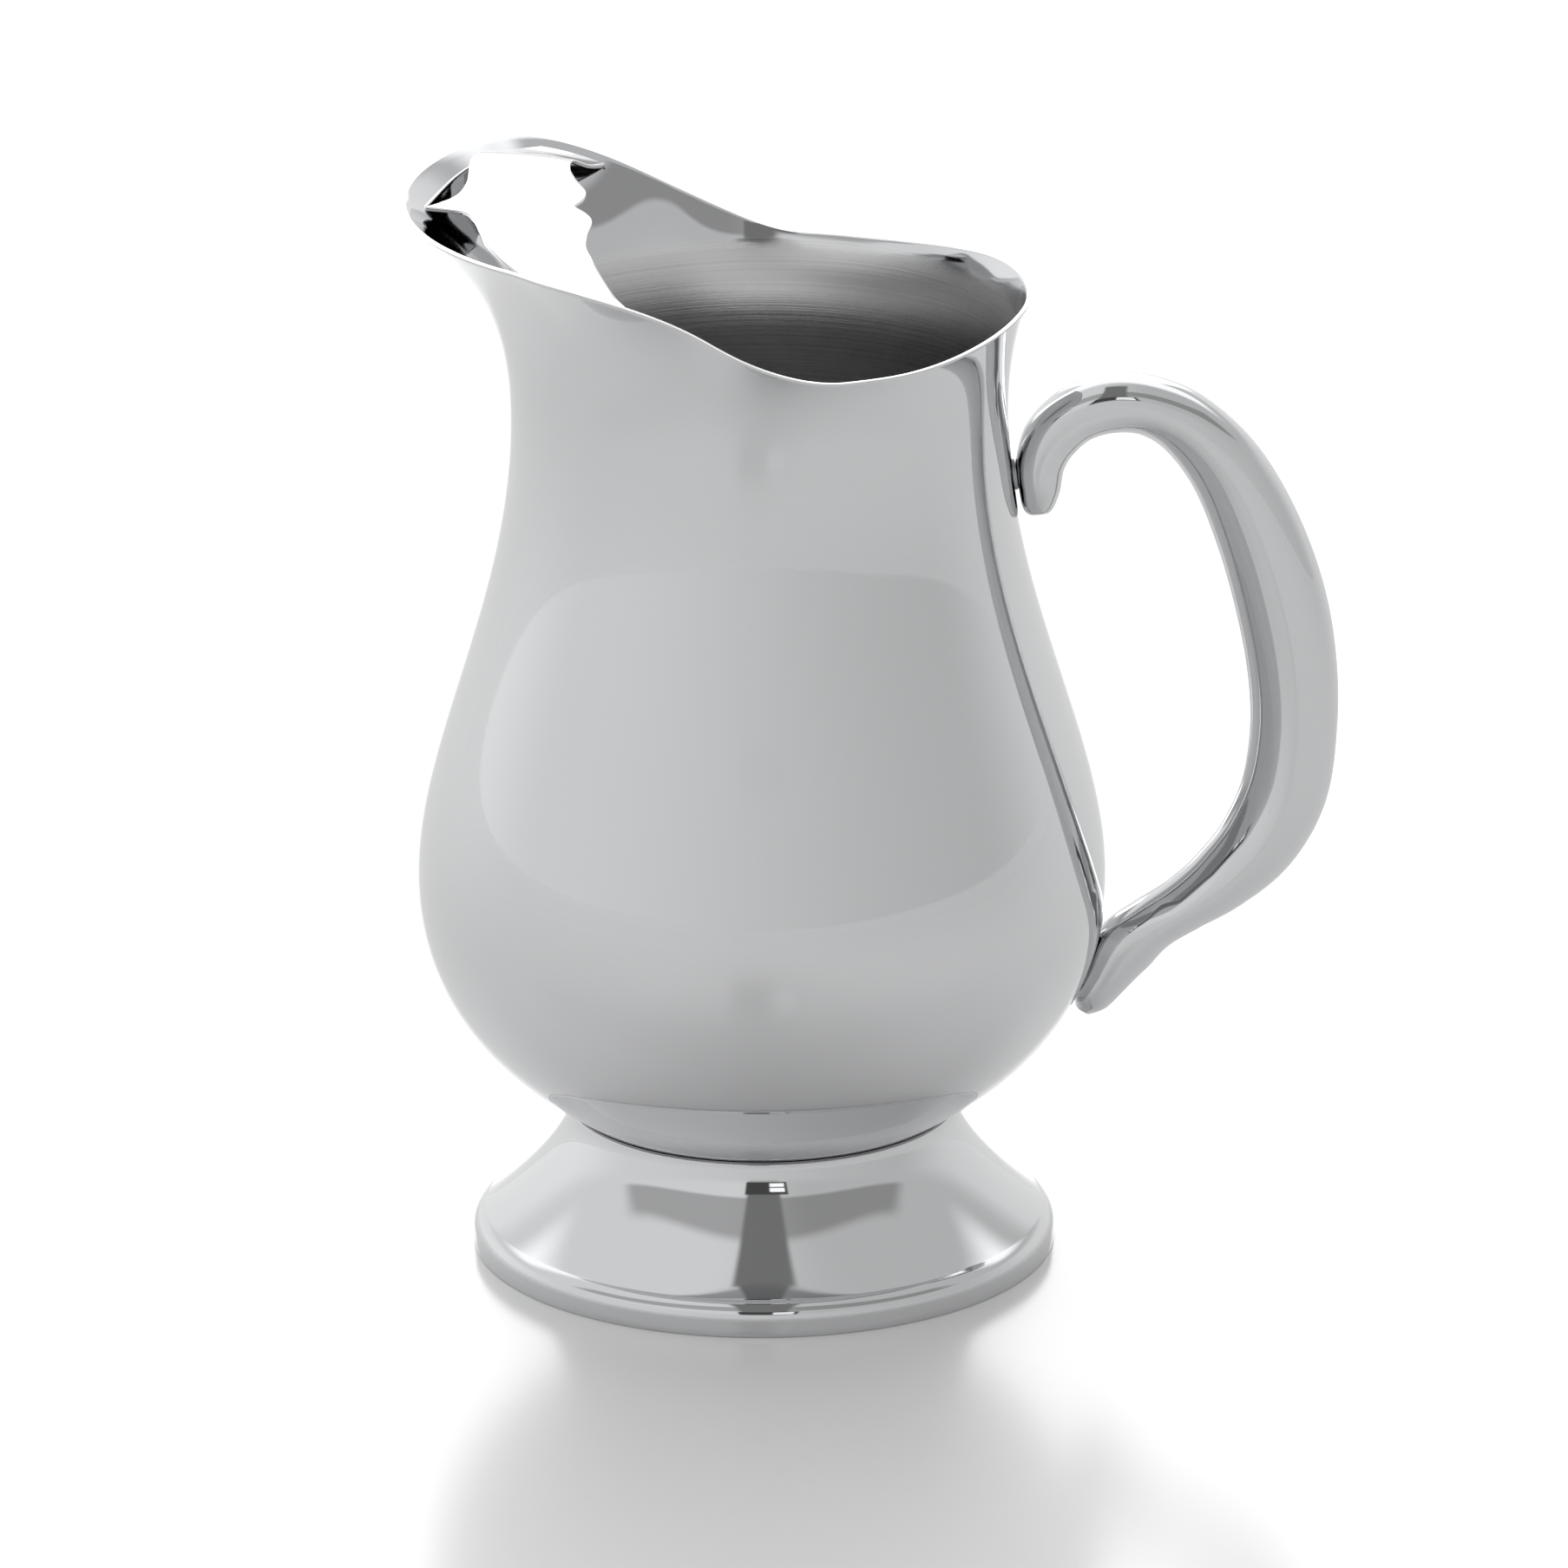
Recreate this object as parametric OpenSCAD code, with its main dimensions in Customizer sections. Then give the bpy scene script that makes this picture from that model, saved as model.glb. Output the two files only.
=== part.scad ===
// Footed water pitcher in stainless sheet: pear body with a wide ice-lip spout,
// a bracket-edged ice guard, a hollow scrolled handle and a spun foot.
// Millimetres, +Z up, handle towards +X, spout towards -X.
// The origin is the centre of the foot's bottom face.

/* [Vessel] */
// Sheet thickness of the vessel wall
wall = 1.0; // [0.8:0.1:1.4]
// Height of the rim at the tip of the spout
spout_height = 226.2; // [224:0.2:229]
// Reach of the spout tip from the vertical axis
spout_reach = 73.6; // [71:0.2:76]
// Height of the rim at its lowest, beside the handle
rim_low = 202.6; // [200:0.2:205]
// Rim radius on the handle half of the mouth
rim_radius = 56.0; // [54.5:0.5:58]

/* [Foot] */
// Outer radius of the foot's upright edge
foot_radius = 60.8; // [58.8:0.5:62.8]
// Height of the foot's upright edge
foot_edge = 3.5; // [3.3:0.2:4.5]
// Sheet thickness of the foot
foot_wall = 1.0; // [0.8:0.1:1.2]

/* [Handle] */
// Handle thickness across, at its widest, as a share of the drawn one
handle_width = 1.0; // [0.85:0.05:1.15]
// Sheet thickness of the two handle halves
handle_wall = 1.2; // [1.0:0.1:1.4]

/* [Ice guard] */
// Sheet thickness of the guard
guard_wall = 0.9; // [0.7:0.1:1.1]
// Height of the guard's crown above the spout rim
guard_crown = 1.0; // [0:0.2:2]

/* [Hidden] */
$fn = 160;

steel = [0.78, 0.79, 0.80];
satin = [0.70, 0.71, 0.72];
seam = [0.55, 0.56, 0.57];

neck_radius = 51.5;
neck_height = 180;
belly_radius = 71.8;
belly_height = 81;
around = 72;

// ---- small helpers ----
function mix(a, b, t) = a + (b - a) * t;
function clamp01(x) = min(1, max(0, x));
function ease(x) = clamp01(x) * clamp01(x) * (3 - 2 * clamp01(x));
function bez(p, t) = pow(1 - t, 3) * p[0] + 3 * pow(1 - t, 2) * t * p[1]
    + 3 * (1 - t) * t * t * p[2] + pow(t, 3) * p[3];
function unit(v) = v / norm(v);

// Smooth curve through listed stations (Catmull-Rom), x in station units
function station(list, i) = list[min(len(list) - 1, max(0, i))];
function through(list, x) =
    let (i = min(len(list) - 2, floor(x)))
    let (t = x - i)
    let (a = station(list, i - 1))
    let (b = station(list, i))
    let (c = station(list, i + 1))
    let (d = station(list, i + 2))
    0.5 * (2 * b + (c - a) * t + (2 * a - 5 * b + 4 * c - d) * t * t
        + (3 * b - a - 3 * c + d) * t * t * t);

// ---- vessel outline: [radius, height] ----
bottom_curve = [[0, 23.5], [25, 23.5], [36.5, 27.9], [41.8, 31.9]];
bowl_curve = [
    [41.8, 31.9],
    [48.5, 37.0],
    [belly_radius, 49.7],
    [belly_radius, belly_height]
];
neck_curve = [
    [belly_radius, belly_height],
    [belly_radius, 109.4],
    [neck_radius, 140.6],
    [neck_radius, neck_height]
];
profile = concat(
    [for (i = [1:10]) bez(bottom_curve, i / 10)],
    [for (i = [1:9]) bez(bowl_curve, i / 9)],
    [for (i = [1:9]) bez(neck_curve, i / 9)]
);
last = len(profile) - 1;
function heading(i) = unit(profile[min(last, i + 1)] - profile[max(0, i - 1)]);
inner_profile = [
    for (i = [0:last]) profile[i] + wall * [-heading(i)[1], heading(i)[0]]
];

// ---- rim: radius and height by angle from the handle side ----
function fold(a) = abs(a > 180 ? a - 360 : a);
function rim_r(a) = rim_radius + 0.5 * ease((a - 40) / 30)
    + 3.3 * ease((a - 78) / 22)
    + (spout_reach - rim_radius - 3.8) * ease((a - 104) / 30);
function rim_z(a) = 205.8 + (rim_low - 205.8) * ease((a - 15) / 51)
    + (spout_height - rim_low) * ease((a - 76) / 62);
rows_up = 14;
function rise(a) = rim_z(a) - neck_height;
function reach(a) = rim_r(a) - neck_radius;
// first swelling above the neck, so that the curve carries on without a break
function swell(a) = 0.00436 * rise(a) * rise(a);
function flare_out(a, t) = [
    neck_radius + swell(a) * t * t + (reach(a) - swell(a)) * t * t * t,
    neck_height + rise(a) * t
];
function flare_slope(a, t) =
    (2 * swell(a) * t + 3 * (reach(a) - swell(a)) * t * t) / rise(a);
function flare_in(a, t) = flare_out(a, t)
    - [wall * sqrt(1 + pow(flare_slope(a, t), 2)), 0];

function spin(p, a) = [p[0] * cos(a), p[0] * sin(a), p[1]];
function step_angle(j) = 360 * j / around;

module body_shell() {
    total = last + 1 + rows_up;
    outer = [
        for (i = [0:total - 1]) for (j = [0:around - 1])
            let (a = step_angle(j))
            spin(i <= last ? profile[i] : flare_out(fold(a), (i - last) / rows_up), a)
    ];
    inner = [
        for (i = [0:total - 1]) for (j = [0:around - 1])
            let (a = step_angle(j))
            spin(i <= last ? inner_profile[i] : flare_in(fold(a), (i - last) / rows_up), a)
    ];
    n = total * around;
    low_out = 2 * n;
    low_in = 2 * n + 1;
    skin = [
        for (i = [0:total - 2]) for (j = [0:around - 1])
            let (k = (j + 1) % around)
            [i * around + j, (i + 1) * around + j, (i + 1) * around + k, i * around + k]
    ];
    lining = [for (f = skin) [n + f[0], n + f[3], n + f[2], n + f[1]]];
    top = (total - 1) * around;
    lip = [
        for (j = [0:around - 1])
            let (k = (j + 1) % around)
            [top + j, n + top + j, n + top + k, top + k]
    ];
    base = [for (j = [0:around - 1]) [low_out, j, (j + 1) % around]];
    floor_in = [for (j = [0:around - 1]) [low_in, n + (j + 1) % around, n + j]];
    color(steel)
    polyhedron(
        points = concat(outer, inner, [[0, 0, 23.5], [0, 0, 23.5 + wall]]),
        faces = concat(skin, lining, lip, base, floor_in),
        convexity = 6
    );
}

// ---- ice guard ----
// Front and rear edges in plan, from the middle out to the spout wall
edge_share = 0.965;
function wall_point(a) = spin(flare_in(a, edge_share) - [0.05, 0], a);
guard_front_angle = 127.5;
guard_rear_angle = 116.5;
guard_front = [
    [-68.2, 0],
    [-61.6, 5.6],
    [-59.2, 13],
    [-58.2, 22],
    [-57.4, 31],
    [-54.4, 40.5],
    [-49.2, 48.5]
];
guard_rear = [
    [-37.7, 0],
    [-35.4, 5.5],
    [-34.7, 11.5],
    [-36.2, 21],
    [-36.8, 30],
    [-35.4, 39.5],
    [-32.2, 48.5]
];
function flat(p) = [p[0], p[1]];
front_line = concat(guard_front, [flat(wall_point(guard_front_angle))]);
rear_line = concat(guard_rear, [flat(wall_point(guard_rear_angle))]);
guard_cells = 21;
guard_rows = 10;
function side_point(s) = wall_point(mix(guard_front_angle, guard_rear_angle, s));
function guard_point(u, s, lift) =
    let (f = through(front_line, 7 * u))
    let (r = through(rear_line, 7 * u))
    let (w = side_point(s))
    let (chord = mix(front_line[7], rear_line[7], s))
    let (p = mix(f, r, s) + (flat(w) - chord) * pow(u, 6))
    let (crown = spout_height + guard_crown * (1 - u * u) - 1.8 * s * s
        - 1.2 * pow(1 - s, 4) * (1 - ease(u * 4)))
    let (z = mix(crown, w[2], ease((u - 0.62) / 0.38)))
    [p[0], p[1], z + lift];

module ice_guard() {
    cols = 2 * guard_cells + 1;
    sheet = [
        for (lift = [0, -guard_wall]) for (i = [0:guard_rows]) for (j = [0:cols - 1])
            let (c = (j - guard_cells) / guard_cells)
            let (p = guard_point(abs(c), i / guard_rows, lift))
            [p[0], (c < 0 ? -1 : 1) * p[1], p[2]]
    ];
    n = (guard_rows + 1) * cols;
    upper = [
        for (i = [0:guard_rows - 1]) for (j = [0:cols - 2]) for (h = [0, 1])
            let (q = [i * cols + j, i * cols + j + 1, (i + 1) * cols + j + 1, (i + 1) * cols + j])
            h == 0 ? [q[0], q[1], q[2]] : [q[0], q[2], q[3]]
    ];
    lower = [for (f = upper) [n + f[0], n + f[2], n + f[1]]];
    edge = concat(
        [for (j = [0:cols - 2]) j],
        [for (i = [0:guard_rows - 1]) i * cols + cols - 1],
        [for (j = [cols - 1:-1:1]) guard_rows * cols + j],
        [for (i = [guard_rows:-1:1]) i * cols]
    );
    skirt = [
        for (k = [0:len(edge) - 1]) for (h = [0, 1])
            let (a = edge[k])
            let (b = edge[(k + 1) % len(edge)])
            h == 0 ? [a, n + a, n + b] : [a, n + b, b]
    ];
    color(steel)
    polyhedron(points = sheet, faces = concat(upper, lower, skirt), convexity = 4);
}

// Bead laid along the underside of the guard's side edge
module guard_bead(side) {
    count = 8;
    ring = 6;
    pts = [
        for (i = [0:count]) for (k = [0:ring - 1])
            let (w = side_point(0.06 + 0.88 * i / count))
            let (inward = -unit([w[0], w[1]]))
            let (c = w + [0.75 * inward[0], 0.75 * inward[1], -guard_wall - 0.35])
            let (a = 360 * k / ring)
            let (q = c + [0.5 * cos(a) * inward[0], 0.5 * cos(a) * inward[1], 0.5 * sin(a)])
            [q[0], side * q[1], q[2]]
    ];
    tube = [
        for (i = [0:count - 1]) for (k = [0:ring - 1])
            let (m = (k + 1) % ring)
            side > 0
                ? [i * ring + k, i * ring + m, (i + 1) * ring + m, (i + 1) * ring + k]
                : [i * ring + k, (i + 1) * ring + k, (i + 1) * ring + m, i * ring + m]
    ];
    first = [for (k = [0:ring - 1]) side > 0 ? ring - 1 - k : k];
    final = [for (k = [0:ring - 1]) count * ring + (side > 0 ? k : ring - 1 - k)];
    color(seam)
    polyhedron(points = pts, faces = concat(tube, [first], [final]), convexity = 3);
}

module guard_weld_near() {
    guard_bead(-1);
}

module guard_weld_far() {
    guard_bead(1);
}

// ---- foot ----
// Upright edge, rounded bead, crease, then a hollow cone up to the bowl
bead = 4.2;
bead_end = 66;
crease = [foot_radius - bead + bead * cos(bead_end), foot_edge + bead * sin(bead_end)];
foot_top = [40.8, 30.6];
cone = [crease, crease + [-2.4, 1.85], [41.0, 21.9], foot_top];
foot_outer = concat(
    [[foot_radius, 0], [foot_radius, foot_edge]],
    [for (a = [11:11:bead_end]) [foot_radius - bead + bead * cos(a), foot_edge + bead * sin(a)]],
    [for (i = [1:18]) bez(cone, i / 18)]
);
foot_last = len(foot_outer) - 1;
function foot_way(i) = unit(foot_outer[min(foot_last, i + 1)] - foot_outer[max(0, i - 1)]);
foot_inner = [
    for (i = [foot_last:-1:0])
        i == 0 ? foot_outer[0] - [foot_wall, 0]
            : i == foot_last ? foot_top - [foot_wall, 0.7 * foot_wall]
            : foot_outer[i] + foot_wall * [-foot_way(i)[1], foot_way(i)[0]]
];

module foot_shell() {
    color(steel)
    rotate_extrude()
    polygon(concat(foot_outer, foot_inner));
}

// Ring of solder that closes the seat between the foot and the bowl
module foot_joint() {
    color(seam)
    rotate_extrude()
    polygon([[39.9, 29.97], [40.6, 30.46], [40.75, 31.0], [39.95, 30.42]]);
}

// ---- handle: stations [x, z, half depth, half width] ----
handle_path = [
    [57.3, 157.0, 1.3, 1.5],
    [57.3, 158.2, 3.1, 3.6],
    [57.7, 162.6, 4.4, 5.3],
    [58.0, 168.4, 5.2, 6.0],
    [60.4, 173.7, 5.7, 6.4],
    [65.6, 178.3, 5.8, 6.7],
    [72.6, 180.4, 6.1, 7.0],
    [80.6, 179.4, 6.2, 7.3],
    [88.7, 174.8, 7.0, 7.6],
    [96.7, 165.5, 8.1, 7.9],
    [103.2, 152.0, 9.1, 8.1],
    [107.9, 137.0, 9.6, 8.2],
    [110.4, 122.5, 9.4, 8.2],
    [110.8, 109.0, 9.1, 8.1],
    [108.9, 95.6, 9.1, 7.9],
    [103.6, 84.7, 8.5, 7.6],
    [95.9, 76.7, 7.2, 7.2],
    [88.3, 71.3, 6.0, 6.9],
    [81.5, 67.0, 5.8, 6.6],
    [75.8, 61.8, 6.4, 6.3],
    [71.8, 55.8, 5.1, 5.7],
    [68.6, 50.9, 3.9, 4.7],
    [67.0, 48.2, 1.8, 2.4]
];
per_station = 2;
spans = (len(handle_path) - 1) * per_station;
turns = 12;
cap = 3;
function on_path(i) = through(handle_path, i / per_station);
function along(i) =
    let (a = on_path(max(0, i - 0.5)))
    let (b = on_path(min(spans, i + 0.5)))
    unit([b[0] - a[0], b[1] - a[1]]);
function power(x, e) = (x < 0 ? -1 : 1) * pow(abs(x), e);
// The outer half of the section is broad; along the grip the inner half narrows to a ridge
broad = 0.8;
ridge = 1.3;
function inner_shape(i) =
    let (n = i / per_station)
    mix(broad, ridge, ease((n - 5) / 4) * (1 - ease((n - 17) / 2)));
// Point of the section: th runs from the outer edge round one side to the inner edge
function section(i, th, less, side) =
    let (p = on_path(i))
    let (d = along(i))
    let (out = [-d[1], d[0]])
    let (e = th > 90 ? inner_shape(i) : broad)
    let (r = (p[2] - less) * power(cos(th), e))
    let (y = (p[3] * handle_width - less) * power(sin(th), e))
    [p[0] + out[0] * r, side * y, p[1] + out[1] * r];

module handle_half(side) {
    m = turns;
    row = m + 1;
    outer = [for (i = [0:spans]) for (j = [0:m]) section(i, 180 * j / m, 0, side)];
    inner = [
        for (i = [cap:spans - cap]) for (j = [0:m]) section(i, 180 * j / m, handle_wall, side)
    ];
    n = (spans + 1) * row;
    kept = spans - 2 * cap;
    function o(i, j) = i * row + j;
    function q(i, j) = n + (i - cap) * row + j;
    skin = [
        for (i = [0:spans - 1]) for (j = [0:m - 1])
            [o(i, j), o(i + 1, j), o(i + 1, j + 1), o(i, j + 1)]
    ];
    lining = [
        for (i = [cap:spans - cap - 1]) for (j = [0:m - 1])
            [q(i, j), q(i, j + 1), q(i + 1, j + 1), q(i + 1, j)]
    ];
    outer_edge = [
        for (i = [cap:spans - cap - 1]) [o(i + 1, 0), o(i, 0), q(i, 0), q(i + 1, 0)]
    ];
    inner_edge = [
        for (i = [cap:spans - cap - 1]) [o(i, m), o(i + 1, m), q(i + 1, m), q(i, m)]
    ];
    start_cap = [[for (j = [0:m]) o(0, j)]];
    end_cap = [[for (j = [m:-1:0]) o(spans, j)]];
    start_wall = [[for (j = [m:-1:0]) q(cap, j)]];
    end_wall = [[for (j = [0:m]) q(spans - cap, j)]];
    start_seam = [concat(
        [for (i = [cap:-1:0]) o(i, 0)],
        [for (i = [0:cap]) o(i, m)],
        [q(cap, m), q(cap, 0)]
    )];
    end_seam = [concat(
        [for (i = [spans:-1:spans - cap]) o(i, 0)],
        [q(spans - cap, 0), q(spans - cap, m)],
        [for (i = [spans - cap:spans]) o(i, m)]
    )];
    all_faces = concat(skin, lining, outer_edge, inner_edge, start_cap, end_cap,
        start_wall, end_wall, start_seam, end_seam);
    turned = [for (f = all_faces) side > 0 ? f : [for (k = [len(f) - 1:-1:0]) f[k]]];
    color(steel)
    polyhedron(points = concat(outer, inner), faces = turned, convexity = 8);
}

module handle_near_half() {
    handle_half(-1);
}

module handle_far_half() {
    handle_half(1);
}

// Weld pad between the scroll and the neck
module handle_upper_weld() {
    color(seam)
    translate([52.3, 0, 165.6])
    rotate([0, 90 - 6.6, 0])
    linear_extrude(height = 0.62)
    scale([3.4, 2.4])
    circle(r = 1, $fn = 40);
}

// Weld pad between the lower end of the handle and the bowl
module handle_lower_weld() {
    color(seam)
    translate([67.85, 0, 60.7])
    rotate([0, 90 + 22, 0])
    linear_extrude(height = 0.55)
    scale([3.6, 2.6])
    circle(r = 1, $fn = 40);
}

body_shell();
ice_guard();
guard_weld_near();
guard_weld_far();
foot_shell();
foot_joint();
handle_near_half();
handle_far_half();
handle_upper_weld();
handle_lower_weld();
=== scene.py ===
import bpy
import math
from mathutils import Matrix, Vector


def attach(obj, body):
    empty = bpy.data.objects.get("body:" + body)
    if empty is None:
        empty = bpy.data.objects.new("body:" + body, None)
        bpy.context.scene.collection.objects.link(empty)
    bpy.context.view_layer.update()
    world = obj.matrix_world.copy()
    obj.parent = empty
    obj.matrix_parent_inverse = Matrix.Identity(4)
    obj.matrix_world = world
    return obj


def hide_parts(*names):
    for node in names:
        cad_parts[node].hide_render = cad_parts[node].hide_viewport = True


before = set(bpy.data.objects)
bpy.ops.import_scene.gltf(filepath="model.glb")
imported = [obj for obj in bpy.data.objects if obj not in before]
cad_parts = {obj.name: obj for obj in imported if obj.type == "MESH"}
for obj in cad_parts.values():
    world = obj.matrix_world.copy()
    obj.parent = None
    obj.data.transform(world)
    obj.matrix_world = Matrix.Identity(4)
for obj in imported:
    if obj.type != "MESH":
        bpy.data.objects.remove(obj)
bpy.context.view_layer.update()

# Shapes below are written in millimetres and turned into metres by MM.
MM = 0.001
# The pitcher stands turned this much about +Z from the camera's square-on view.
TURN = math.radians(4.0)


# ---------------------------------------------------------------- helpers
def bez(p, t):
    """Point at t on a cubic curve with the four control points p."""
    a = (1 - t) ** 3
    b = 3 * (1 - t) ** 2 * t
    c = 3 * (1 - t) * t * t
    d = t ** 3
    return tuple(a * p[0][k] + b * p[1][k] + c * p[2][k] + d * p[3][k] for k in range(len(p[0])))


def ease(x):
    """Smooth step from 0 to 1."""
    x = min(1.0, max(0.0, x))
    return x * x * (3 - 2 * x)


def mix(a, b, t):
    """Share t of the way from a to b."""
    return a + (b - a) * t


def through(stations, x):
    """Smooth curve through the stations; x counts stations from the first."""
    last = len(stations) - 1
    i = min(last - 1, int(math.floor(x)))
    t = x - i
    a = stations[max(0, i - 1)]
    b = stations[i]
    c = stations[i + 1]
    d = stations[min(last, i + 2)]
    out = []
    for k in range(len(b)):
        out.append(0.5 * (2 * b[k] + (c[k] - a[k]) * t
                          + (2 * a[k] - 5 * b[k] + 4 * c[k] - d[k]) * t * t
                          + (3 * b[k] - a[k] - 3 * c[k] + d[k]) * t ** 3))
    return out


def heading(points, i):
    """Unit direction along an outline at its point i."""
    p = points[max(0, i - 1)]
    q = points[min(len(points) - 1, i + 1)]
    length = math.hypot(q[0] - p[0], q[1] - p[1])
    return (q[0] - p[0]) / length, (q[1] - p[1]) / length


def new_mesh(name, verts, faces, materials, indices=None):
    """Smooth-shaded object from millimetre points."""
    mesh = bpy.data.meshes.new(name)
    mesh.from_pydata([(x * MM, y * MM, z * MM) for x, y, z in verts], [], faces)
    for m in materials:
        mesh.materials.append(m)
    if indices:
        mesh.polygons.foreach_set("material_index", indices)
    mesh.polygons.foreach_set("use_smooth", [True] * len(mesh.polygons))
    mesh.update()
    obj = bpy.data.objects.new(name, mesh)
    bpy.context.scene.collection.objects.link(obj)
    return obj


def lathe(name, profile, material, count=256):
    """Closed profile of (radius, height) points turned about the vertical axis."""
    n = len(profile)
    verts = []
    for j in range(count):
        a = 2 * math.pi * j / count
        for r, z in profile:
            verts.append((r * math.cos(a), r * math.sin(a), z))
    faces = []
    for j in range(count):
        k = (j + 1) % count
        for i in range(n):
            m = (i + 1) % n
            faces.append((j * n + i, k * n + i, k * n + m, j * n + m))
    return new_mesh(name, verts, faces, [material])


# ---------------------------------------------------------------- materials
STEEL = (0.66, 0.665, 0.675)
GUARD_STEEL = (0.72, 0.72, 0.73)
# lighter colour for the rim's cut edge: a painted highlight along the rim
PAINTED_RIM_HIGHLIGHT = (0.80, 0.80, 0.81)
WELD_DARK = (0.30, 0.30, 0.31)
WELD_PALE = (0.45, 0.45, 0.46)
TABLE_WHITE = (0.91, 0.91, 0.91)


def material(name, metallic):
    m = bpy.data.materials.new(name)
    m.use_nodes = True
    nodes = m.node_tree.nodes
    shader = nodes["Principled BSDF"]
    shader.inputs["Metallic"].default_value = metallic
    return m, nodes, m.node_tree.links, shader


def add(nodes, kind, **settings):
    """New shader node; each setting names one input, with _ for its space."""
    n = nodes.new(kind)
    for key, value in settings.items():
        n.inputs[key.replace("_", " ")].default_value = value
    return n


def color_mix(nodes, a, b):
    n = nodes.new("ShaderNodeMix")
    n.data_type = "RGBA"
    n.inputs["A"].default_value = (*a, 1)
    n.inputs["B"].default_value = (*b, 1)
    return n


def polished(name, base=STEEL, rough=0.035, scale=1.0):
    """Mirror-polished steel: faint hazy smudges and hairline wipe marks."""
    m, nodes, links, shader = material(name, 1.0)
    coords = nodes.new("ShaderNodeTexCoord")
    haze = add(nodes, "ShaderNodeTexNoise", Scale=22.0 * scale, Detail=4.0)
    links.new(coords.outputs["Object"], haze.inputs["Vector"])
    spread = add(nodes, "ShaderNodeMapRange", From_Min=0.40, From_Max=0.75)
    spread.inputs["To Min"].default_value = rough
    spread.inputs["To Max"].default_value = rough + 0.035
    links.new(haze.outputs["Fac"], spread.inputs["Value"])
    links.new(spread.outputs["Result"], shader.inputs["Roughness"])
    tint = color_mix(nodes, base, (base[0] * 0.97, base[1] * 0.97, base[2] * 0.965))
    links.new(haze.outputs["Fac"], tint.inputs["Factor"])
    links.new(tint.outputs["Result"], shader.inputs["Base Color"])
    wipe = add(nodes, "ShaderNodeTexNoise", Scale=140.0 * scale, Detail=3.0)
    links.new(coords.outputs["Object"], wipe.inputs["Vector"])
    bump = add(nodes, "ShaderNodeBump", Strength=0.02, Distance=0.0001)
    links.new(wipe.outputs["Fac"], bump.inputs["Height"])
    links.new(bump.outputs["Normal"], shader.inputs["Normal"])
    return m


def satin(name):
    """Spun inside of the vessel: fine rings round the axis, mirror-bright at the flare."""
    m, nodes, links, shader = material(name, 1.0)
    coords = nodes.new("ShaderNodeTexCoord")
    stretch = add(nodes, "ShaderNodeMapping", Scale=(1.5, 1.5, 1600.0))
    links.new(coords.outputs["Object"], stretch.inputs["Vector"])
    rings = add(nodes, "ShaderNodeTexNoise", Scale=1.0, Detail=5.0, Roughness=0.65)
    links.new(stretch.outputs["Vector"], rings.inputs["Vector"])
    split = nodes.new("ShaderNodeSeparateXYZ")
    links.new(coords.outputs["Object"], split.inputs["Vector"])
    # 1 on the brushed wall, 0 above the height in metres where the polish starts
    brushed = add(nodes, "ShaderNodeMapRange", From_Min=0.1985, From_Max=0.2025, To_Min=1.0, To_Max=0.0)
    brushed.interpolation_type = "SMOOTHSTEP"
    links.new(split.outputs["Z"], brushed.inputs["Value"])
    rough = add(nodes, "ShaderNodeMapRange", To_Min=0.05, To_Max=0.34)
    links.new(brushed.outputs["Result"], rough.inputs["Value"])
    links.new(rough.outputs["Result"], shader.inputs["Roughness"])
    tone = add(nodes, "ShaderNodeMapRange", From_Min=0.3, From_Max=0.7, To_Min=0.60, To_Max=0.80)
    links.new(rings.outputs["Fac"], tone.inputs["Value"])
    grey = nodes.new("ShaderNodeCombineColor")
    for channel in ("Red", "Green", "Blue"):
        links.new(tone.outputs["Result"], grey.inputs[channel])
    base = color_mix(nodes, STEEL, STEEL)
    links.new(brushed.outputs["Result"], base.inputs["Factor"])
    links.new(grey.outputs["Color"], base.inputs["B"])
    links.new(base.outputs["Result"], shader.inputs["Base Color"])
    around = nodes.new("ShaderNodeTangent")
    around.direction_type = "RADIAL"
    around.axis = "Z"
    links.new(around.outputs["Tangent"], shader.inputs["Tangent"])
    shader.inputs["Anisotropic"].default_value = 0.7
    strength = nodes.new("ShaderNodeMath")
    strength.operation = "MULTIPLY"
    strength.inputs[1].default_value = 0.22
    links.new(brushed.outputs["Result"], strength.inputs[0])
    bump = add(nodes, "ShaderNodeBump", Distance=0.0002)
    links.new(strength.outputs["Value"], bump.inputs["Strength"])
    links.new(rings.outputs["Fac"], bump.inputs["Height"])
    links.new(bump.outputs["Normal"], shader.inputs["Normal"])
    return m


def weld(name):
    """Dull grained weld and solder metal."""
    m, nodes, links, shader = material(name, 1.0)
    coords = nodes.new("ShaderNodeTexCoord")
    grain = add(nodes, "ShaderNodeTexNoise", Scale=900.0)
    links.new(coords.outputs["Object"], grain.inputs["Vector"])
    rough = add(nodes, "ShaderNodeMapRange", To_Min=0.25, To_Max=0.5)
    links.new(grain.outputs["Fac"], rough.inputs["Value"])
    links.new(rough.outputs["Result"], shader.inputs["Roughness"])
    tint = color_mix(nodes, WELD_DARK, WELD_PALE)
    links.new(grain.outputs["Fac"], tint.inputs["Factor"])
    links.new(tint.outputs["Result"], shader.inputs["Base Color"])
    return m


def glossy_table(name):
    """White table top with a soft, slightly uneven gloss."""
    m, nodes, links, shader = material(name, 0.0)
    shader.inputs["Base Color"].default_value = (*TABLE_WHITE, 1)
    coords = nodes.new("ShaderNodeTexCoord")
    cloud = add(nodes, "ShaderNodeTexNoise", Scale=3.0)
    links.new(coords.outputs["Object"], cloud.inputs["Vector"])
    gloss = add(nodes, "ShaderNodeMapRange", To_Min=0.17, To_Max=0.23)
    links.new(cloud.outputs["Fac"], gloss.inputs["Value"])
    links.new(gloss.outputs["Result"], shader.inputs["Roughness"])
    return m


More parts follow.
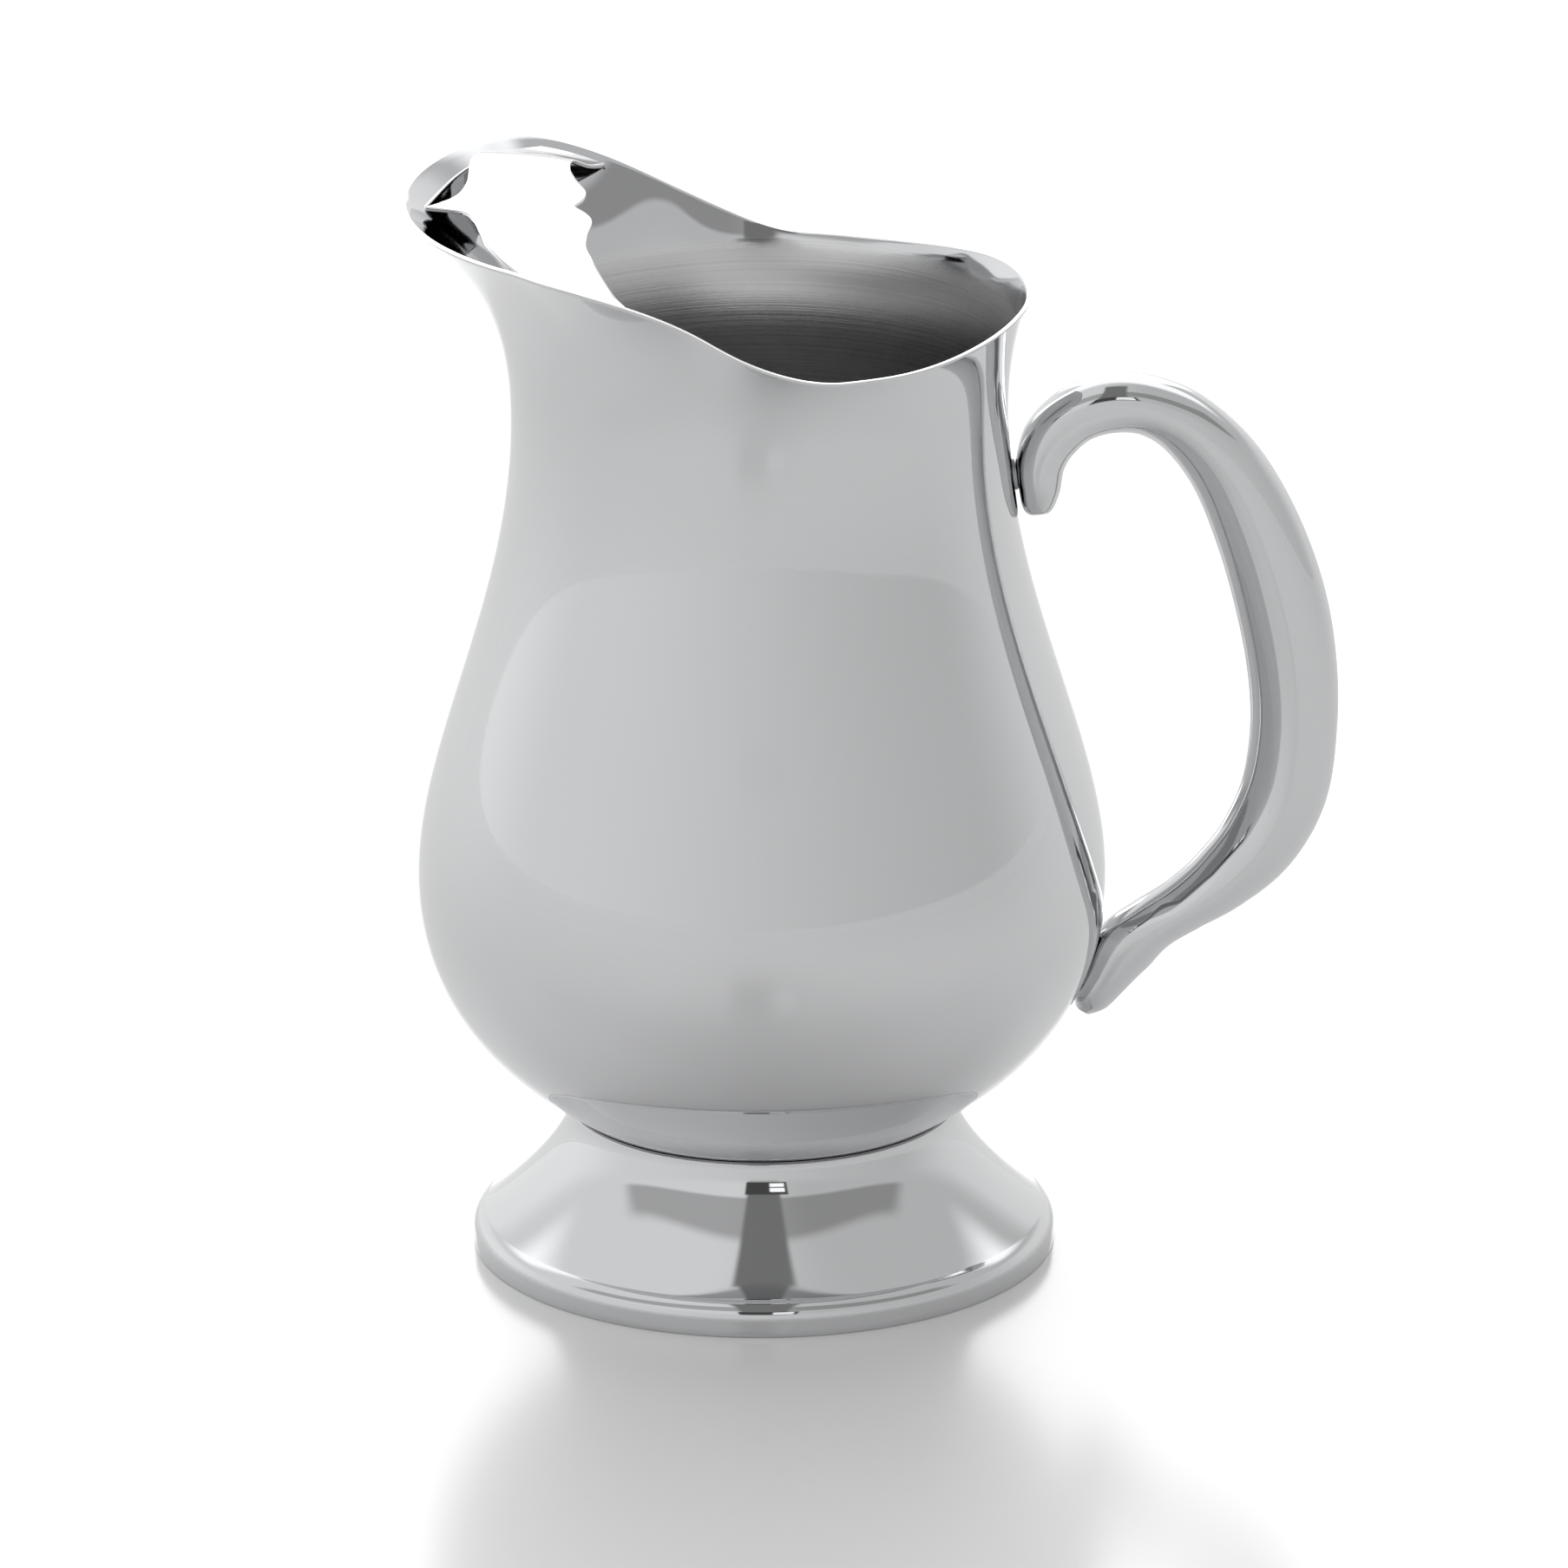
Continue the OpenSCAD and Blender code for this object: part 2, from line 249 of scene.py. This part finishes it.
vessel_mat = polished("vessel_polish")
inside_mat = satin("vessel_inside")
# the rim's cut edge is lighter than the rest of the steel: a painted highlight along the rim
edge_mat = polished("rim_edge_painted_highlight", base=PAINTED_RIM_HIGHLIGHT, rough=0.12, scale=4.0)
foot_mat = polished("foot_polish")
handle_mat = polished("handle_polish")
guard_mat = polished("guard_polish", base=GUARD_STEEL, rough=0.03)
joint_mat = weld("joint_metal")

# ---------------------------------------------------------------- vessel
WALL = 1.0
NECK_R = 51.5
NECK_Z = 180.0
BELLY_R = 71.8
BELLY_Z = 81.0
RIM_R = 56.0
RIM_BACK = 205.8
RIM_LOW = 202.6
SPOUT_R = 73.6
SPOUT_Z = 226.2
# how far the flare has opened, per square millimetre of its rise
SWELL = 0.00436
# rise of the rounded cut edge over the rim
LIP = 0.22
BOTTOM_Z = 23.5
BOTTOM = [(0.0, BOTTOM_Z), (25.0, BOTTOM_Z), (36.5, 27.9), (41.8, 31.9)]
BOWL = [(41.8, 31.9), (48.5, 37.0), (BELLY_R, 49.7), (BELLY_R, BELLY_Z)]
NECK = [(BELLY_R, BELLY_Z), (BELLY_R, 109.4), (NECK_R, 140.6), (NECK_R, NECK_Z)]
AROUND = 240
FLARE_ROWS = 44
# material places on the vessel
OUTSIDE, INSIDE, EDGE = 0, 1, 2


def rim_r(a):
    """Rim radius at a degrees from the handle."""
    return (RIM_R + 0.5 * ease((a - 40) / 30) + 3.3 * ease((a - 78) / 22)
            + (SPOUT_R - RIM_R - 3.8) * ease((a - 104) / 30))


def rim_z(a):
    """Rim height at a degrees from the handle."""
    return (RIM_BACK + (RIM_LOW - RIM_BACK) * ease((a - 15) / 51)
            + (SPOUT_Z - RIM_LOW) * ease((a - 76) / 62))


def flare(a, t):
    """Radius, height and slope of the flare, from t 0 at the neck to 1 at the rim."""
    rise = rim_z(a) - NECK_Z
    swell = SWELL * rise * rise
    reach = rim_r(a) - NECK_R
    r = NECK_R + swell * t * t + (reach - swell) * t ** 3
    slope = (2 * swell * t + 3 * (reach - swell) * t * t) / rise
    return r, NECK_Z + rise * t, slope


def fold(a):
    """Both sides of the vessel are alike, so angles run from 0 to 180."""
    a = a % 360.0
    return 360.0 - a if a > 180.0 else a


def low_wall():
    """Outline from the bottom up to the neck, with its directions."""
    points = [bez(BOTTOM, i / 16) for i in range(1, 17)]
    points += [bez(BOWL, i / 40) for i in range(1, 41)]
    points += [bez(NECK, i / 44) for i in range(1, 45)]
    ways = [heading(points, i) for i in range(len(points))]
    ways[-1] = (0.0, 1.0)
    return points, ways


def wall_at(a, ring, points, ways):
    """Radius and height of one ring of the wall; side 0 is the outer face, 1 the inner."""
    kind, key, side = ring
    if kind == "low":
        r, z = points[key]
        along_r, along_z = ways[key]
        return r - WALL * along_z * side, z + WALL * along_r * side
    if kind == "flare":
        r, z, slope = flare(a, key)
        root = math.sqrt(1 + slope * slope)
        # near the rim the offset turns level, so that the cut edge is level too
        level = key ** 8
        r -= WALL * side / root
        z += WALL * side * slope / root * (1 - level)
        r -= WALL * side * (root - 1 / root) * level
        return r, z
    r, z, slope = flare(a, 1.0)
    root = math.sqrt(1 + slope * slope)
    return r - WALL * root * key, z + LIP * math.sin(math.pi * key)


def vessel():
    points, ways = low_wall()
    low_rows = len(points)
    # outer rows going up, rounded lip, inner rows back down
    rings = [("low", i, 0.0) for i in range(low_rows)]
    rings += [("flare", i / FLARE_ROWS, 0.0) for i in range(1, FLARE_ROWS + 1)]
    rings += [("lip", across, 0.0) for across in (0.12, 0.5, 0.88)]
    rings += [("flare", i / FLARE_ROWS, 1.0) for i in range(FLARE_ROWS, 0, -1)]
    rings += [("low", i, 1.0) for i in range(low_rows - 1, -1, -1)]
    verts = []
    for ring in rings:
        for j in range(AROUND):
            deg = 360.0 * j / AROUND
            r, z = wall_at(fold(deg), ring, points, ways)
            c = math.radians(deg)
            verts.append((r * math.cos(c), r * math.sin(c), z))
    lip_start = low_rows + FLARE_ROWS - 1
    lip_end = lip_start + 4
    faces = []
    places = []
    for i in range(len(rings) - 1):
        place = OUTSIDE if i < lip_start else EDGE if i < lip_end else INSIDE
        for j in range(AROUND):
            k = (j + 1) % AROUND
            row = i * AROUND
            above = row + AROUND
            faces.append((row + j, row + k, above + k, above + j))
            places.append(place)
    # the two centre points close the bottom
    under = len(verts)
    verts.append((0, 0, BOTTOM_Z))
    verts.append((0, 0, BOTTOM_Z + WALL))
    top_row = (len(rings) - 1) * AROUND
    for j in range(AROUND):
        k = (j + 1) % AROUND
        faces.append((under, k, j))
        places.append(OUTSIDE)
        faces.append((under + 1, top_row + j, top_row + k))
        places.append(INSIDE)
    return new_mesh("vessel", verts, faces, [vessel_mat, inside_mat, edge_mat], places)


body = vessel()
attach(body, "root")
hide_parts("body_shell")

# ---------------------------------------------------------------- ice guard
GUARD_WALL = 0.9
# height of the guard's middle over the spout, and how it falls to the rear and at the tip
CROWN = 1.0
REAR_DROP = 1.8
TIP_DROP = 1.2
# where the front and rear edges meet the wall: degrees from the handle, share of the flare
FRONT_DEG = 127.5
REAR_DEG = 116.5
SHARE = 0.965
# clearance between the guard's ends and the wall, which the weld beads bridge
CLEARANCE = 0.05
# half of the front and of the rear edge, from the middle plane to the wall
FRONT = [(-68.2, 0), (-61.6, 5.6), (-59.2, 13), (-58.2, 22), (-57.4, 31), (-54.4, 40.5), (-49.2, 48.5)]
REAR = [(-37.7, 0), (-35.4, 5.5), (-34.7, 11.5), (-36.2, 21), (-36.8, 30), (-35.4, 39.5), (-32.2, 48.5)]
GUARD_HALF = 60
GUARD_ROWS = 24


def wall_point(deg):
    """Point on the inside of the flare where the guard is welded on."""
    r, z, slope = flare(deg, SHARE)
    r -= WALL * math.sqrt(1 + slope * slope) + CLEARANCE
    c = math.radians(deg)
    return r * math.cos(c), r * math.sin(c), z


FRONT.append(wall_point(FRONT_DEG)[:2])
REAR.append(wall_point(REAR_DEG)[:2])
ENDS = len(FRONT) - 1


def guard_point(u, s):
    """Top of the guard: u from the middle to the wall, s from the front to the rear edge."""
    f = through(FRONT, ENDS * u)
    r = through(REAR, ENDS * u)
    w = wall_point(mix(FRONT_DEG, REAR_DEG, s))
    # near the wall the straight end is bent onto the wall's curve
    k = u ** 6
    x = mix(f[0], r[0], s) + (w[0] - mix(FRONT[ENDS][0], REAR[ENDS][0], s)) * k
    y = mix(f[1], r[1], s) + (w[1] - mix(FRONT[ENDS][1], REAR[ENDS][1], s)) * k
    crown = SPOUT_Z + CROWN * (1 - u * u) - REAR_DROP * s * s
    crown -= TIP_DROP * (1 - s) ** 4 * (1 - ease(u * 4))
    z = mix(crown, w[2], ease((u - 0.62) / 0.38))
    return x, y, z


def guard():
    cols = 2 * GUARD_HALF + 1
    verts = []
    for lift in (0.0, -GUARD_WALL):
        for i in range(GUARD_ROWS + 1):
            for j in range(cols):
                c = (j - GUARD_HALF) / GUARD_HALF
                x, y, z = guard_point(abs(c), i / GUARD_ROWS)
                verts.append((x, -y if c < 0 else y, z + lift))
    n = (GUARD_ROWS + 1) * cols
    faces = []
    for i in range(GUARD_ROWS):
        for j in range(cols - 1):
            a = i * cols + j
            faces.append((a + cols, a + cols + 1, a + 1, a))
            faces.append((n + a, n + a + 1, n + a + cols + 1, n + a + cols))
    # the edge all round joins the top to the underside
    ring = list(range(cols))
    ring += [i * cols + cols - 1 for i in range(1, GUARD_ROWS + 1)]
    ring += [GUARD_ROWS * cols + j for j in range(cols - 2, -1, -1)]
    ring += [i * cols for i in range(GUARD_ROWS - 1, 0, -1)]
    for k in range(len(ring)):
        a = ring[k]
        b = ring[(k + 1) % len(ring)]
        faces.append((a, b, n + b, n + a))
    obj = new_mesh("guard_plate", verts, faces, [guard_mat])
    bevel = obj.modifiers.new("edge", "BEVEL")
    bevel.width = 0.28 * MM
    bevel.segments = 2
    bevel.limit_method = "ANGLE"
    bevel.angle_limit = math.radians(50)
    return obj


plate = guard()
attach(plate, "root")
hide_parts("ice_guard")

# ---------------------------------------------------------------- foot
FOOT_R = 60.8
FOOT_EDGE = 3.5
FOOT_WALL = 1.0
BEAD = 4.2
BEAD_END = math.radians(66)
FOOT_TOP = (40.8, 30.6)
BEAD_STEPS = 20
CONE_STEPS = 80


def foot():
    # upright edge with its lower corner broken
    outer = [(FOOT_R - 0.35, 0.0), (FOOT_R - 0.1, 0.08), (FOOT_R, 0.35), (FOOT_R, 1.6)]
    outer.append((FOOT_R, FOOT_EDGE - 0.4))
    upright = len(outer)
    # rounded bead over the upright edge
    for i in range(BEAD_STEPS + 1):
        a = BEAD_END * i / BEAD_STEPS
        outer.append((FOOT_R - BEAD + BEAD * math.cos(a), FOOT_EDGE + BEAD * math.sin(a)))
    # hollow cone from the crease up to the bowl
    crease = outer[-1]
    cone = [crease, (crease[0] - 2.4, crease[1] + 1.85), (41.0, 21.9), FOOT_TOP]
    for i in range(1, CONE_STEPS + 1):
        outer.append(bez(cone, i / CONE_STEPS))
    # inner face, from the bevelled seat under the bowl back down
    seat = (FOOT_TOP[0] - FOOT_WALL, FOOT_TOP[1] - 0.7)
    inner = [seat]
    for i in range(len(outer) - 2, -1, -1):
        r, z = outer[i]
        if i < upright:
            inner.append((FOOT_R - FOOT_WALL, z))
        elif z <= FOOT_TOP[1] - 0.8:
            along_r, along_z = heading(outer, i)
            inner.append((r - FOOT_WALL * along_z, z + FOOT_WALL * along_r))
    return lathe("foot", outer + inner, foot_mat)


base = foot()
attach(base, "root")
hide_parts("foot_shell")

# ---------------------------------------------------------------- handle
# stations: x, z, half depth, half width
PATH = [
    (57.3, 157.0, 1.3, 1.5), (57.3, 158.2, 3.1, 3.6), (57.7, 162.6, 4.4, 5.3), (58.0, 168.4, 5.2, 6.0),
    (60.4, 173.7, 5.7, 6.4), (65.6, 178.3, 5.8, 6.7), (72.6, 180.4, 6.1, 7.0), (80.6, 179.4, 6.2, 7.3),
    (88.7, 174.8, 7.0, 7.6), (96.7, 165.5, 8.1, 7.9), (103.2, 152.0, 9.1, 8.1), (107.9, 137.0, 9.6, 8.2),
    (110.4, 122.5, 9.4, 8.2), (110.8, 109.0, 9.1, 8.1), (108.9, 95.6, 9.1, 7.9), (103.6, 84.7, 8.5, 7.6),
    (95.9, 76.7, 7.2, 7.2), (88.3, 71.3, 6.0, 6.9), (81.5, 67.0, 5.8, 6.6), (75.8, 61.8, 6.4, 6.3),
    (71.8, 55.8, 5.1, 5.7), (68.6, 50.9, 3.9, 4.7), (67.0, 48.2, 1.8, 2.4),
]
PER_STATION = 8
SECTION_POINTS = 64
# powers that shape the section: broad and full, or narrowed to a ridge
BROAD = 0.8
RIDGE = 1.3


def power(x, p):
    return math.copysign(abs(x) ** p, x)


def inner_shape(n):
    """Along the grip the inner half of the section narrows to a ridge."""
    return mix(BROAD, RIDGE, ease((n - 5) / 4) * (1 - ease((n - 17) / 2)))


def handle():
    spans = (len(PATH) - 1) * PER_STATION
    verts = []
    for i in range(spans + 1):
        p = through(PATH, i / PER_STATION)
        a = through(PATH, max(0, i - 0.5) / PER_STATION)
        b = through(PATH, min(spans, i + 0.5) / PER_STATION)
        length = math.hypot(b[0] - a[0], b[1] - a[1])
        out_x = -(b[1] - a[1]) / length
        out_z = (b[0] - a[0]) / length
        for j in range(SECTION_POINTS):
            th = 2 * math.pi * j / SECTION_POINTS
            e = BROAD if math.cos(th) >= 0 else inner_shape(i / PER_STATION)
            r = p[2] * power(math.cos(th), e)
            y = p[3] * power(math.sin(th), e)
            verts.append((p[0] + out_x * r, y, p[1] + out_z * r))
    faces = []
    for i in range(spans):
        row = i * SECTION_POINTS
        after = row + SECTION_POINTS
        for j in range(SECTION_POINTS):
            k = (j + 1) % SECTION_POINTS
            faces.append((row + j, after + j, after + k, row + k))
    faces.append(tuple(range(SECTION_POINTS)))
    faces.append(tuple(spans * SECTION_POINTS + j for j in range(SECTION_POINTS - 1, -1, -1)))
    return new_mesh("handle", verts, faces, [handle_mat])


grip = handle()
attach(grip, "root")
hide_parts("handle_near_half", "handle_far_half")

# CAD solids that keep their own shape
for name in ("foot_joint", "guard_weld_near", "guard_weld_far", "handle_upper_weld", "handle_lower_weld"):
    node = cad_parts[name]
    node.data.materials.clear()
    node.data.materials.append(joint_mat)

# ---------------------------------------------------------------- table
TABLE_SIDE = 8.0
bpy.ops.mesh.primitive_plane_add(size=TABLE_SIDE, location=(0, 0, 0))
table = bpy.context.object
table.name = "table"
table.data.materials.append(glossy_table("table_gloss"))

# ---------------------------------------------------------------- light
# The studio is a brightness for each direction, where x is to the camera's right, y is away
# from the camera and z is up. Each runs from -1 to 1.
ROOM_FRONT = 0.76
ROOM_BACK = 0.98
ROOM_TILT = -0.13
PANEL_LEFT = 0.90
PANEL_RIGHT = 0.64
STRIP_SHADE = 0.43
CEILING = 1.5
GAP = 0.23
SWEEP = 3.6
HOOD = 0.08
WINDOW = 1.5

world = bpy.data.worlds.new("studio")
bpy.context.scene.world = world
world.use_nodes = True
wn = world.node_tree.nodes
wl = world.node_tree.links


def w_range(source, lo, hi, a, b):
    n = add(wn, "ShaderNodeMapRange", From_Min=lo, From_Max=hi, To_Min=a, To_Max=b)
    n.interpolation_type = "SMOOTHSTEP"
    wl.new(source, n.inputs["Value"])
    return n.outputs["Result"]


def rises(source, lo, hi):
    return w_range(source, lo, hi, 0.0, 1.0)


def falls(source, lo, hi):
    return w_range(source, lo, hi, 1.0, 0.0)


def w_math(op, a, b):
    n = wn.new("ShaderNodeMath")
    n.operation = op
    for i, v in enumerate((a, b)):
        if isinstance(v, (int, float)):
            n.inputs[i].default_value = v
        else:
            wl.new(v, n.inputs[i])
    return n.outputs["Value"]


def product(first, *others):
    out = first
    for other in others:
        out = w_math("MULTIPLY", out, other)
    return out


def w_mix(a, b, f):
    return w_math("ADD", product(a, w_math("SUBTRACT", 1.0, f)), product(b, f))


def studio(x, y, z):
    side = w_math("ABSOLUTE", x, 0.0)
    square = product(x, x)
    # quiet room low down, a little brighter on the left and behind
    room = w_math("ADD", product(x, ROOM_TILT), w_range(y, -0.20, 0.70, ROOM_FRONT, ROOM_BACK))
    # overhead panels, the left one stronger
    panel = w_range(x, -0.3, 0.4, PANEL_LEFT, PANEL_RIGHT)
    # darker strip across the panels over the camera, bent down at its ends
    above_start = w_math("SUBTRACT", z, w_math("SUBTRACT", 0.63, product(square, 0.22)))
    above_stop = w_math("SUBTRACT", z, w_math("SUBTRACT", 0.89, product(square, 0.40)))
    strip = product(rises(above_start, -0.02, 0.02), falls(above_stop, -0.02, 0.02), falls(y, -0.15, 0.0))
    panel = product(panel, w_math("SUBTRACT", 1.0, product(strip, STRIP_SHADE)))
    # bright ceiling behind the pitcher
    panel = w_mix(panel, CEILING, product(rises(y, 0.30, 0.55), rises(z, 0.45, 0.60)))
    # unlit gap right over the camera
    panel = w_mix(panel, GAP, product(falls(side, 0.12, 0.16), falls(y, 0.0, 0.2)))
    total = w_mix(room, panel, rises(z, 0.26, 0.44))
    # bright sweep straight behind the pitcher
    sweep = product(falls(side, 0.20, 0.30), rises(y, 0.0, 0.2), rises(z, 0.10, 0.20), falls(z, 0.50, 0.62))
    total = w_mix(total, SWEEP, sweep)
    # dark hood round the camera
    toward_camera = falls(y, -0.60, -0.50)
    hood = product(rises(x, -0.17, -0.15), falls(x, 0.20, 0.22), toward_camera)
    hood = product(hood, rises(z, 0.34, 0.37), falls(z, 0.57, 0.60))
    total = w_mix(total, HOOD, hood)
    # window in the hood's right half: two bright panes with a bar between them
    panes = product(rises(x, 0.05, 0.06), falls(x, 0.18, 0.19), toward_camera)
    panes = product(panes, rises(z, 0.38, 0.39), falls(z, 0.54, 0.55))
    bar = product(rises(z, 0.455, 0.46), falls(z, 0.475, 0.48))
    return w_mix(total, WINDOW, product(panes, w_math("SUBTRACT", 1.0, bar)))


where = wn.new("ShaderNodeTexCoord")
turned = add(wn, "ShaderNodeMapping", Rotation=(0, 0, TURN))
wl.new(where.outputs["Generated"], turned.inputs["Vector"])
axes = wn.new("ShaderNodeSeparateXYZ")
wl.new(turned.outputs["Vector"], axes.inputs["Vector"])
background = wn["Background"]
background.inputs["Color"].default_value = (1.0, 1.0, 1.0, 1)
brightness = studio(axes.outputs["X"], axes.outputs["Y"], axes.outputs["Z"])
wl.new(brightness, background.inputs["Strength"])

# ---------------------------------------------------------------- camera
ELEVATION = math.radians(18.67)
DISTANCE = 2.772
ROLL = 0.005
AIM = Vector((0.00466, 0.0, 0.09965))
SENSOR = 36.0
LENS = 306.807

right = Vector((1, 0, 0))
up = Vector((0, math.sin(ELEVATION), math.cos(ELEVATION)))
look = Vector((0, math.cos(ELEVATION), -math.sin(ELEVATION)))
eye = AIM - look * DISTANCE
rolled_right = right * math.cos(ROLL) - up * math.sin(ROLL)
rolled_up = up * math.cos(ROLL) + right * math.sin(ROLL)
pose = Matrix.Identity(4)
for row in range(3):
    pose[row][0] = rolled_right[row]
    pose[row][1] = rolled_up[row]
    pose[row][2] = -look[row]
    pose[row][3] = eye[row]
cam_data = bpy.data.cameras.new("camera")
cam_data.sensor_width = SENSOR
cam_data.lens = LENS
cam_data.clip_end = 50.0
cam = bpy.data.objects.new("camera", cam_data)
bpy.context.scene.collection.objects.link(cam)
cam.matrix_world = Matrix.Rotation(-TURN, 4, "Z") @ pose
bpy.context.scene.camera = cam
bpy.context.scene.view_settings.view_transform = "Standard"
